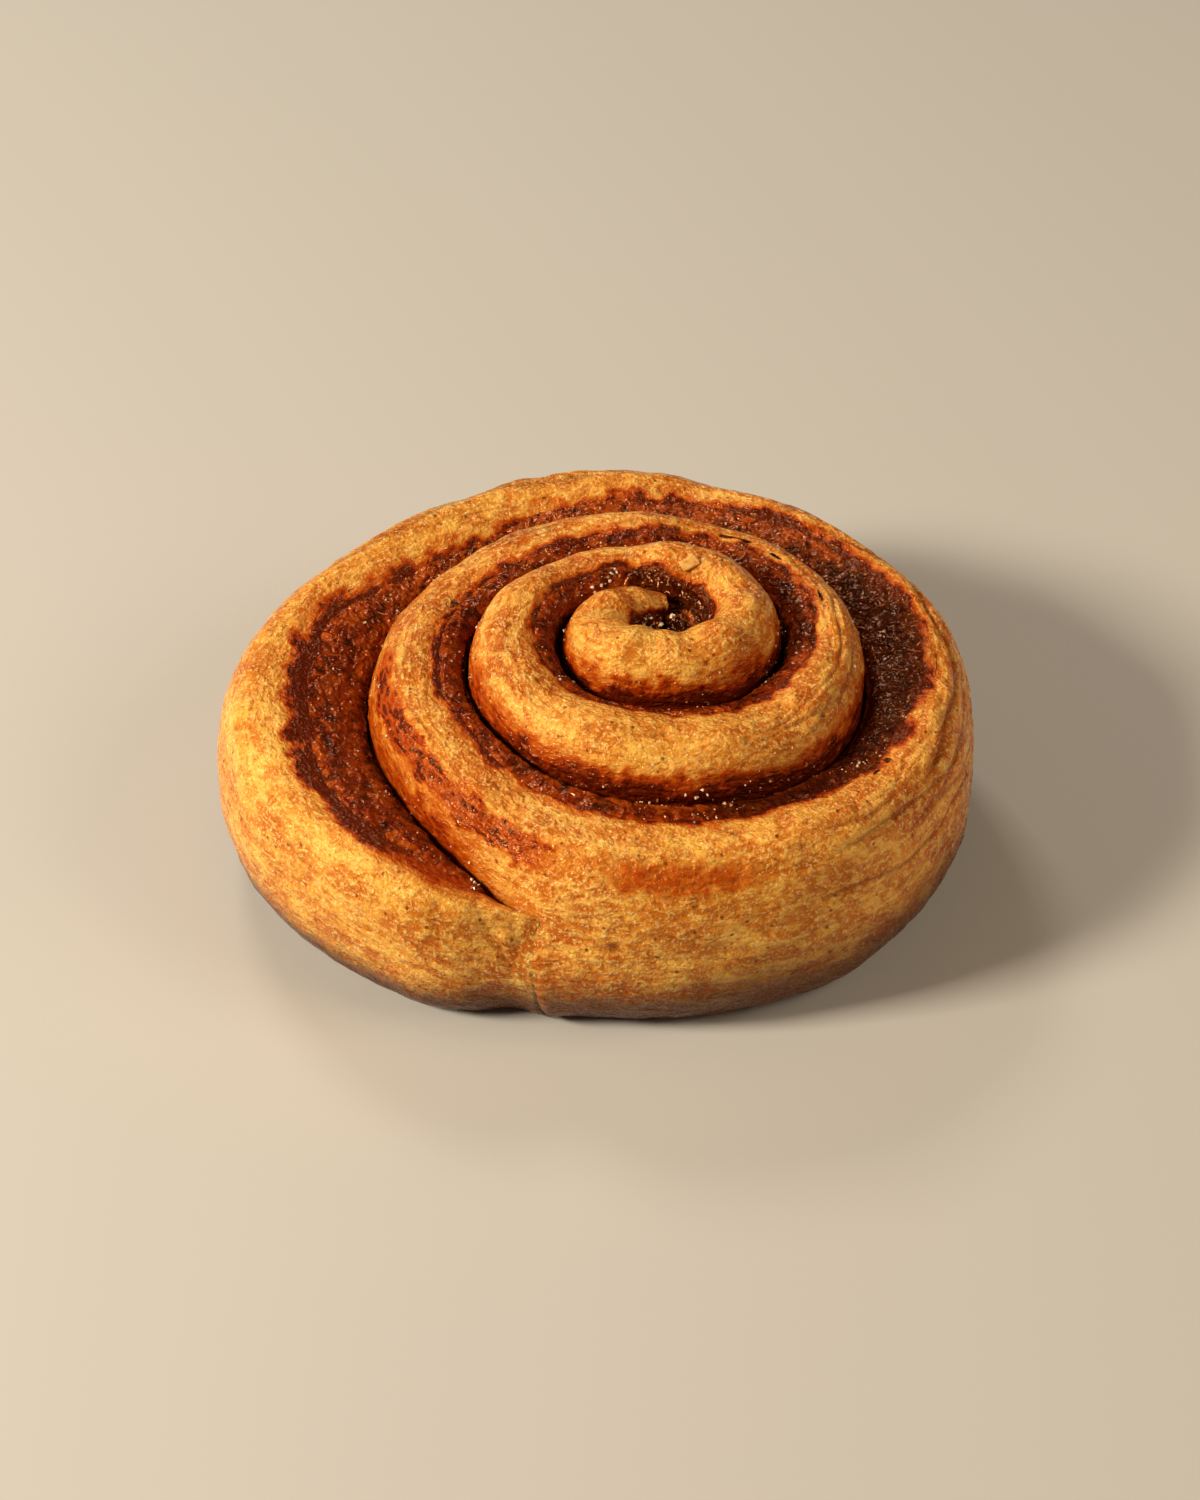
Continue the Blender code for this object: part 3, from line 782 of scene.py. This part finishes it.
def strew(form, grains, places, points, normals, draw):
    """Grains strewn over some of the places of a grid of points."""
    count, fineness = grains
    for _ in range(count):
        row, column = places[draw.randrange(len(places))]
        size = GRAIN_SIZE[0] + (GRAIN_SIZE[1] - GRAIN_SIZE[0]) * draw.random() ** fineness
        add_grain(form, points[row, column], normals[row, column], size, draw)


def stained_places(angle, grid):
    """Where grains stick to the dough: the outward slopes beside a groove, and the tail's seam."""
    lane, turn = grid[..., 2], angle[:, None]
    beside_groove = (lane > 0.45) & (lane < 1.0) & (turn < 985.0)
    beside_seam = (lane > -0.9) & (lane < -0.25) & (turn > 1285.0)
    return beside_groove | beside_seam


def add_grain(form, place, normal, size, draw):
    """One crystal, turned at random and half sunk in what it lies on."""
    turned = Euler([draw.uniform(0, 6.28) for _ in range(3)]).to_matrix().to_4x4()
    shape = Matrix.Diagonal((1.0, draw.uniform(0.5, 1.0), draw.uniform(0.4, 0.9), 1.0))
    centre = Vector(place + normal * size * 0.1) * MM
    bmesh.ops.create_cube(form, size=size * MM, matrix=Matrix.Translation(centre) @ turned @ shape)


def mesh_of(form, name):
    bmesh.ops.recalc_face_normals(form, faces=form.faces)
    mesh = bpy.data.meshes.new(name)
    form.to_mesh(mesh)
    form.free()
    return mesh


# Shreds of sticky dough pulled across the paste, partly painted highlights of its wet streaks: from, to,
# how many, and how far up the climb.
SHREDS = (
    # first angle, last angle, count, lowest and highest place up the paste
    (700.0, 880.0, 200, 0.15, 0.95),
    (380.0, 480.0, 50, 0.2, 0.9),
)
SHRED_LENGTH = (0.8, 2.1)
SHRED_WIDTH = (0.05, 0.15)


def make_shreds(paste):
    """Pale, wet shreds that lean over the paste, in one piece; they stand partly for the paste's wet
    highlights, as painted highlights.
    """
    draw = random.Random(SEED + 3)
    angle, points, normals = paste
    form = bmesh.new()
    along = np.gradient(points, axis=0)
    along /= np.linalg.norm(along, axis=-1, keepdims=True)
    columns = points.shape[1]
    for first, last, count, low, high in SHREDS:
        for _ in range(count):
            row = int(np.argmin(np.abs(angle - draw.uniform(first, last))))
            column = int((1 - draw.uniform(low, high)) * (columns - 6)) + 3
            normal = Vector(normals[row, column])
            lean = math.radians(draw.gauss(62.0, 24.0))
            up = normal.cross(Vector(along[row, column])).normalized()
            up = up if up.z > 0 else -up
            run = (Vector(along[row, column]) * -math.cos(lean) + up * math.sin(lean)).normalized()
            add_shred(form, Vector(points[row, column]), run, normal, draw)
    mesh = mesh_of(form, "dough_shreds")
    mesh.shade_smooth()
    added("dough_shreds", mesh, glazed_dough(), None)


def add_shred(form, place, run, normal, draw):
    """One shred: a thin spindle, bent over the surface."""
    length, width = draw.uniform(*SHRED_LENGTH) / 2, draw.uniform(*SHRED_WIDTH)
    bend, twist = draw.uniform(-0.35, 0.35), draw.uniform(0.05, 0.4)
    side = normal.cross(run)
    verts = bmesh.ops.create_uvsphere(form, u_segments=6, v_segments=6, radius=1.0)["verts"]
    for vertex in verts:
        x, y, z = vertex.co
        across = x * width + bend * length * (z * z - 0.4)
        over = y * width * 0.7 + twist * length * (0.35 - z * z) - 0.02
        vertex.co = (place + run * (z * length) + side * across + normal * over) * MM


# The pale chip on the slope behind the eye: angle and radius from the eye, its sides, its turn in
# radians, and how far its middle stands off the crust.
CHIP_PLACE = (425.5, 9.95)
CHIP_SIZE = (2.7, 1.6, 0.4)
CHIP_TURN = 0.5
CHIP_LIFT = 0.35


def make_chip(dough):
    """A flat chip of pale dough that baked on."""
    angle, grid, points, normals = dough
    row = int(np.argmin(np.abs(angle - CHIP_PLACE[0])))
    off_slope = (grid[row, :, 2] > 0.2) | (grid[row, :, 2] < -1)
    column = int(np.argmin(np.abs(grid[row, :, 0] - CHIP_PLACE[1]) + 9 * off_slope))
    normal = Vector(normals[row, column])
    turned = normal.to_track_quat("Z", "Y").to_matrix().to_4x4()
    form = bmesh.new()
    shape = Matrix.Diagonal((*CHIP_SIZE, 1.0))
    centre = (Vector(points[row, column]) + normal * CHIP_LIFT) * MM
    place = Matrix.Translation(centre) @ turned @ Matrix.Rotation(CHIP_TURN, 4, "Z")
    place = place @ Matrix.Scale(MM, 4) @ shape
    bmesh.ops.create_cube(form, size=1.0, matrix=place)
    bmesh.ops.subdivide_edges(form, edges=form.edges, cuts=5, use_grid_fill=True)
    for vertex in form.verts:
        spot = vertex.co / MM
        vertex.co += normal * MM * 0.22 * noise.noise(spot / 1.1)
        vertex.co += Vector(noise.noise_vector(spot / 0.7)) * MM * 0.12
    bmesh.ops.smooth_vert(
        form, verts=form.verts, factor=0.5, use_axis_x=True, use_axis_y=True, use_axis_z=True)
    mesh = mesh_of(form, "dough_chip")
    mesh.shade_smooth()
    added("dough_chip", mesh, pale_baked_dough(), None)


def added(name, mesh, material, node):
    """A piece in the scene with its material, in the place of a node of the solids."""
    piece = bpy.data.objects.new(name, mesh)
    bpy.context.scene.collection.objects.link(piece)
    mesh.materials.append(material)
    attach(piece, "root")
    if node:
        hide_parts(node)
    return piece


def colour(code):
    """A hex colour such as E6A94A as linear red, green, blue and alpha."""
    parts = [int(code[i:i + 2], 16) / 255 for i in (0, 2, 4)]
    linear = [part / 12.92 if part <= 0.04045 else ((part + 0.055) / 1.055) ** 2.4 for part in parts]
    return (*linear, 1.0)


RGBA = {"data_type": "RGBA"}
SMOOTH = {"interpolation_type": "SMOOTHSTEP"}
WEIGHTED_SUM = {"operation": "MULTIPLY_ADD"}


def set_inputs(tree, node, **inputs):
    """Sets or links a node's inputs, each named as on the node with _ for a space, or i and number."""
    for key, value in inputs.items():
        place = int(key[1:]) if key[1:].isdigit() else key.replace("_", " ")
        if isinstance(value, bpy.types.NodeSocket):
            tree.links.new(value, node.inputs[place])
        else:
            node.inputs[place].default_value = value


def add_node(tree, kind, settings=None, stops=(), **inputs):
    """Adds a node with its settings, colour stops and inputs, and gives its outputs."""
    node = tree.nodes.new("ShaderNode" + kind)
    for key, value in (settings or {}).items():
        setattr(node, key, value)
    for i, (position, code) in enumerate(stops):
        elements = node.color_ramp.elements
        element = elements[i] if i < len(elements) else elements.new(position)
        element.position = position
        element.color = colour(code)
    set_inputs(tree, node, **inputs)
    return node.outputs


def painted(tree, skin, layers):
    """A colour with others laid over it, each where its mask runs from one value to another."""
    for mask, low, high, strength, paint in layers:
        share = add_node(tree, "MapRange", SMOOTH, i0=mask, i1=low, i2=high, i4=strength)[0]
        over = colour(paint) if isinstance(paint, str) else paint
        skin = add_node(tree, "Mix", RGBA, i0=share, i6=skin, i7=over)[2]
    return skin


def new_material(name):
    material = bpy.data.materials.new(name)
    material.use_nodes = True
    return material, material.node_tree, material.node_tree.nodes["Principled BSDF"]


def egg_washed_crust():
    """Egg-washed yeast dough, baked: a golden skin of short glossy flecks with painted glints, soaked
    near the paste, and painted shade in its creases and low on its side.
    """
    material, tree, shader = new_material("egg_washed_crust")
    place = add_node(tree, "TexCoord")["Object"]
    strip = add_node(tree, "Attribute", {"attribute_name": "strip"})["Vector"]
    marks = add_node(tree, "Attribute", {"attribute_name": "marks"})
    stain, brown, deep = add_node(tree, "SeparateColor", i0=marks["Color"])
    amber_and_shade_share = marks["Alpha"]
    drawn_out = add_node(tree, "Mapping", Vector=strip, Scale=(0.6, 1.0, 1.0))[0]
    brushed = add_node(tree, "Mapping", Vector=strip, Scale=(0.22, 1.0, 1.0))[0]
    far_drawn_out = add_node(tree, "Mapping", Vector=strip, Scale=(0.07, 1.0, 1.0))[0]

    # Noise in patches of 6 mm and clouds of 2.4 mm, flecks, bands and lines drawn out along the
    # strip, crumb, and small dots wide apart.
    patches = add_node(tree, "TexNoise", Vector=place, Scale=1 / (6.0 * MM), Detail=3.0)[0]
    clouds = add_node(tree, "TexNoise", Vector=place, Scale=1 / (2.4 * MM), Detail=2.0,
                      Distortion=0.2)[0]
    flecks = add_node(tree, "TexNoise", Vector=drawn_out, Scale=1 / (0.85 * MM),
                      Detail=1.5, Distortion=0.5)[0]
    bands = add_node(tree, "TexNoise", Vector=brushed, Scale=1 / (2.6 * MM), Detail=2.5,
                     Distortion=0.4)[0]
    lines = add_node(tree, "TexNoise", Vector=far_drawn_out, Scale=1 / (0.9 * MM),
                     Detail=2.0, Distortion=0.3)[0]
    crumb = add_node(tree, "TexNoise", Vector=place, Scale=1 / (0.45 * MM), Detail=1.0,
                     Distortion=0.6)[0]
    dots = add_node(tree, "TexVoronoi", Vector=place, Scale=1 / (2.6 * MM))["Distance"]

    golden = add_node(tree, "ValToRGB", None,
                      ((0.36, "CC7820"), (0.5, "E19533"), (0.64, "F0B44C")), i0=patches)[0]
    amber = add_node(tree, "ValToRGB", None,
                     ((0.36, "A84A08"), (0.5, "C46212"), (0.64, "DA8426")), i0=patches)[0]
    soaked = add_node(tree, "Math", WEIGHTED_SUM, i0=flecks, i1=0.5, i2=stain)[0]
    rust = add_node(tree, "ValToRGB", None,
                    ((0.3, "D8842A"), (0.62, "C05A10"), (0.85, "9C3205"), (1.0, "5A1502")), i0=soaked)[0]
    skin = painted(tree, golden, (
        # Amber laid on by the marks: browning, and painted shade on the right, at the back and down the
        # walls.
        (amber_and_shade_share, 0.0, 1.0, 1.0, amber),
        (bands, 0.49, 0.36, 0.65, "BE6412"),
        (bands, 0.52, 0.64, 0.6, "F6BE58"),
        (clouds, 0.48, 0.32, 0.6, "BE6212"),
        (clouds, 0.52, 0.66, 0.55, "F4BA54"),
        (lines, 0.44, 0.3, 0.4, "B4560E"),
        (flecks, 0.46, 0.3, 0.5, "B4580C"),
        # The palest flecks and crumb are painted glints of the egg wash, laid over its own light and
        # dark flecks.
        (flecks, 0.53, 0.68, 0.5, "FACB68"),
        (crumb, 0.57, 0.69, 0.5, "FFE296"),
        (crumb, 0.4, 0.28, 0.4, "8C3606"),
        (dots, 0.14, 0.07, 0.8, "6E2406"),
        (soaked, 0.28, 0.7, 1.0, rust),
        # The brown: browning of the base and the underside, with painted shade low on the side.
        (brown, 0.0, 1.0, 0.95, "4E1C02"),
        # Painted shade in the creases and pits.
        (deep, 0.0, 1.0, 0.7, "82340A"),
    ))

    wrinkled = add_node(tree, "Math", WEIGHTED_SUM, i0=crumb, i1=0.4, i2=flecks)[0]
    clouded = add_node(tree, "Math", WEIGHTED_SUM, i0=clouds, i1=0.6, i2=wrinkled)[0]
    height = add_node(tree, "Math", WEIGHTED_SUM, i0=lines, i1=0.3, i2=clouded)[0]
    bump = add_node(tree, "Bump", Distance=0.5 * MM, Height=height)[0]
    dry = add_node(tree, "MapRange", SMOOTH, i0=flecks, i1=0.35, i2=0.65, i3=0.34, i4=0.16)[0]
    set_inputs(tree, shader, Base_Color=skin, Normal=bump, Roughness=dry, IOR=1.47,
               Specular_Tint=colour("FFC87C"), Subsurface_Weight=0.3,
               Subsurface_Radius=(1.0, 0.32, 0.08), Subsurface_Scale=1.8 * MM)
    return material


def cinnamon_sugar_paste():
    """Brown sugar, butter and cinnamon, melted in the oven: wet, dark red and lumpy, with shade painted
    in the eye, at the right, between clumps and at the foot of the groove.
    """
    material, tree, shader = new_material("cinnamon_sugar_paste")
    place = add_node(tree, "TexCoord")["Object"]
    marks = add_node(tree, "Attribute", {"attribute_name": "marks"})["Color"]
    climbed, mashed, hollow = add_node(tree, "SeparateColor", i0=marks)
    pools = add_node(tree, "TexNoise", Vector=place, Scale=1 / (3.6 * MM), Detail=3.0)[0]
    clots = add_node(tree, "TexNoise", Vector=place, Scale=1 / (1.6 * MM), Detail=2.0,
                     Distortion=1.0)[0]
    grains = add_node(tree, "TexNoise", Vector=place, Scale=1 / (0.6 * MM), Detail=2.0,
                      Distortion=0.8)[0]

    up_slope = add_node(tree, "Math", WEIGHTED_SUM, i0=clots, i1=0.3, i2=climbed)[0]
    # The darkest stops, at the foot of the groove, are painted shade; the dark band higher up and the
    # orange of the thin edge are the paste's own.
    syrup = add_node(tree, "ValToRGB", None, (
        (0.15, "140300"), (0.25, "5E1903"), (0.36, "A0440C"), (0.5, "7E2604"), (0.64, "621903"),
        (0.76, "8A2A05"), (0.88, "C05C0C"),
    ), i0=up_slope)[0]
    mash = add_node(tree, "ValToRGB", None,
                    ((0.34, "5E1906"), (0.5, "9A400F"), (0.66, "CC7038")), i0=grains)[0]
    body = painted(tree, syrup, (
        (mashed, 0.0, 1.0, 0.55, mash),
        (pools, 0.52, 0.66, 0.5, "A4460C"),
        (clots, 0.54, 0.68, 0.6, "AE4C0C"),
        (grains, 0.58, 0.72, 0.3, "C4601A"),
        (pools, 0.46, 0.34, 0.5, "3A0B02"),
        (clots, 0.46, 0.32, 0.7, "300801"),
        # Painted shade: dark in the eye, at the right and between the clumps.
        (hollow, 0.5, 0.95, 0.8, "1E0401"),
    ))

    wet_lumps = add_node(tree, "TexNoise", Vector=place, Scale=1 / (1.2 * MM), Detail=0.6,
                         Distortion=0.8)[0]
    height = add_node(tree, "Math", WEIGHTED_SUM, i0=grains, i1=0.12, i2=wet_lumps)[0]
    bump = add_node(tree, "Bump", Distance=0.9 * MM, Height=height)[0]
    wet = add_node(tree, "MapRange", SMOOTH, i0=pools, i1=0.35, i2=0.7, i3=0.07, i4=0.18)[0]
    set_inputs(tree, shader, Base_Color=body, Normal=bump, Roughness=wet, IOR=1.49,
               Specular_Tint=colour("FFB47C"), Subsurface_Weight=0.15,
               Subsurface_Radius=(1.0, 0.2, 0.03), Subsurface_Scale=1.5 * MM)
    return material


def sugar_crystal():
    """Cane sugar: small clear crystals, tinted by the syrup they lie in, that glint."""
    material, tree, shader = new_material("sugar_crystal")
    place = add_node(tree, "TexCoord")["Object"]
    soak = add_node(tree, "TexNoise", Vector=place, Scale=1 / (1.0 * MM))[0]
    tint = add_node(tree, "ValToRGB", None,
                    ((0.4, "C4763A"), (0.5, "E8B27A"), (0.62, "FFE8C8")), i0=soak)[0]
    set_inputs(tree, shader, Base_Color=tint, Roughness=0.08, IOR=1.54, Transmission_Weight=0.15)
    return material


def glazed_dough():
    """Soft dough soaked in syrup: pinkish brown, half clear and wet; its pale tints are partly painted
    highlights.
    """
    material, tree, shader = new_material("glazed_dough")
    place = add_node(tree, "TexCoord")["Object"]
    soak = add_node(tree, "TexNoise", Vector=place, Scale=1 / (1.8 * MM), Detail=3.0)[0]
    tint = add_node(tree, "ValToRGB", None,
                    ((0.36, "6E220A"), (0.5, "A04A20"), (0.66, "D08C5C")), i0=soak)[0]
    set_inputs(tree, shader, Base_Color=tint, Roughness=0.2, IOR=1.47)
    return material


def pale_baked_dough():
    """A thin chip of dough, baked dry and pale, with a soft sheen."""
    material, tree, shader = new_material("pale_baked_dough")
    place = add_node(tree, "TexCoord")["Object"]
    grain = add_node(tree, "TexNoise", Vector=place, Scale=1 / (0.5 * MM), Detail=3.0)[0]
    tint = add_node(tree, "ValToRGB", None,
                    ((0.35, "D0892F"), (0.6, "F0BC66")), i0=grain)[0]
    bump = add_node(tree, "Bump", Strength=0.6, Distance=0.2 * MM, Height=grain)[0]
    set_inputs(tree, shader, Base_Color=tint, Normal=bump, Roughness=0.42)
    return material


def pale_floor():
    """A plain matt floor, only to stand the roll on."""
    form = bmesh.new()
    bmesh.ops.create_grid(form, x_segments=1, y_segments=1, size=1.5)
    mesh = bpy.data.meshes.new("floor")
    form.to_mesh(mesh)
    form.free()
    floor = bpy.data.objects.new("floor", mesh)
    bpy.context.scene.collection.objects.link(floor)
    material, tree, shader = new_material("matt_floor")
    set_inputs(tree, shader, Base_Color=colour("C2BFBA"), Roughness=0.9)
    mesh.materials.append(material)


def add_light(name, place, size, energy, tint):
    """A soft square light aimed at the roll."""
    data = bpy.data.lights.new(name, "AREA")
    data.size = size
    data.energy = energy
    data.color = tint
    light = bpy.data.objects.new(name, data)
    light.location = place
    light.rotation_euler = (Vector((0, 0, 0.02)) - Vector(place)).to_track_quat("-Z", "Y").to_euler()
    bpy.context.scene.collection.objects.link(light)


def studio():
    """Soft key light from the upper left, a back light for the gloss, a fill from the right."""
    add_light("key", (-0.66, -0.22, 0.46), 0.18, 9.1, (1.0, 0.88, 0.7))
    add_light("back", (-0.25, 0.6, 0.6), 0.2, 2.2, (1.0, 0.9, 0.76))
    add_light("fill", (0.62, -0.16, 0.5), 0.4, 2.5, (1.0, 0.82, 0.6))
    world = bpy.data.worlds.new("studio")
    world.use_nodes = True
    sky = world.node_tree.nodes["Background"]
    set_inputs(world.node_tree, sky, Color=colour("E8D2B8"), Strength=0.1)
    bpy.context.scene.world = world
    bpy.context.scene.view_settings.view_transform = "Standard"


def photo_camera():
    """The camera at the photograph's place."""
    data = bpy.data.cameras.new("camera")
    data.lens = VIEW_LENS
    data.sensor_width = FRAME_LONG_SIDE
    data.clip_start = 0.05
    camera = bpy.data.objects.new("camera", data)
    target = Vector((EYE_X - EYE_FROM_TARGET[0], EYE_Y - EYE_FROM_TARGET[1], TARGET_HEIGHT)) * MM
    rise = math.radians(VIEW_ELEVATION)
    back = Vector((0.0, -math.cos(rise), math.sin(rise)))
    camera.location = target + back * VIEW_DISTANCE * MM
    camera.rotation_euler = (-back).to_track_quat("-Z", "Y").to_euler()
    bpy.context.scene.collection.objects.link(camera)
    bpy.context.scene.camera = camera


photo_camera()
dough = make_dough()
paste = make_paste()
make_sugar(dough, paste)
make_shreds(paste)
make_chip(dough)
pale_floor()
studio()
